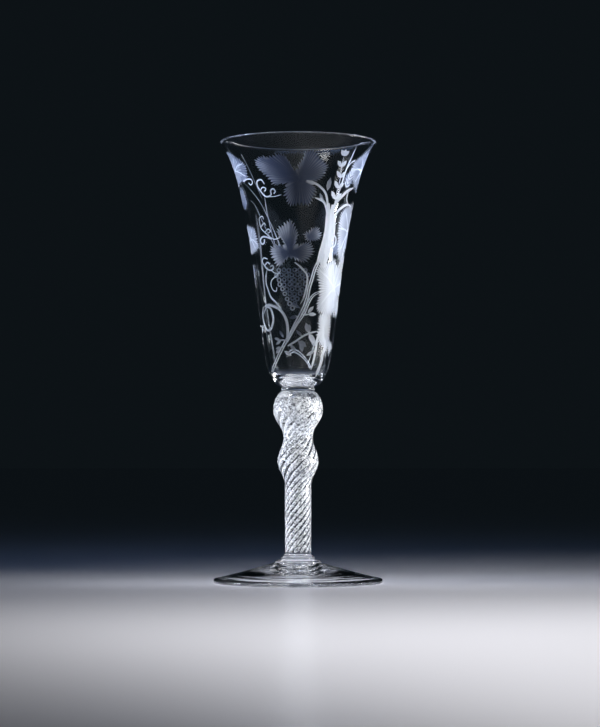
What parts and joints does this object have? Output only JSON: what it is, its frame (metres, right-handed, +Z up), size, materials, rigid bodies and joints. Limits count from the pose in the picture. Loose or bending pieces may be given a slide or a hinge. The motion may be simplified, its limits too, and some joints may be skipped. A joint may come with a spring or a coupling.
{
  "type": "champagne glass",
  "caption": "Tall stemmed drinking glass with a flared bell bowl, a solid stem with two knops and an air twist, and a conical foot.",
  "frame": {"origin": "centre of the circle that the foot stands on", "axes": "+Z up along the glass's axis of turning; X and Y are any two directions across it"},
  "size_m": [0.0784, 0.0784, 0.205],
  "materials": {
    "clear_crystal": "fire polished lead crystal, almost colourless with a faint grey tint",
    "twist_crystal": "fire polished lead crystal with silvery spiral threads of trapped air under the skin",
    "engraved_crystal": "fire polished lead crystal, wheel engraved on the outside with a matt pale fruiting vine"
  },
  "bodies": {
    "root": {"foot": "clear_crystal", "foot_collar": "clear_crystal", "stem": "twist_crystal", "bowl_collar": "clear_crystal", "bowl": "engraved_crystal"}
  },
  "joints": []
}
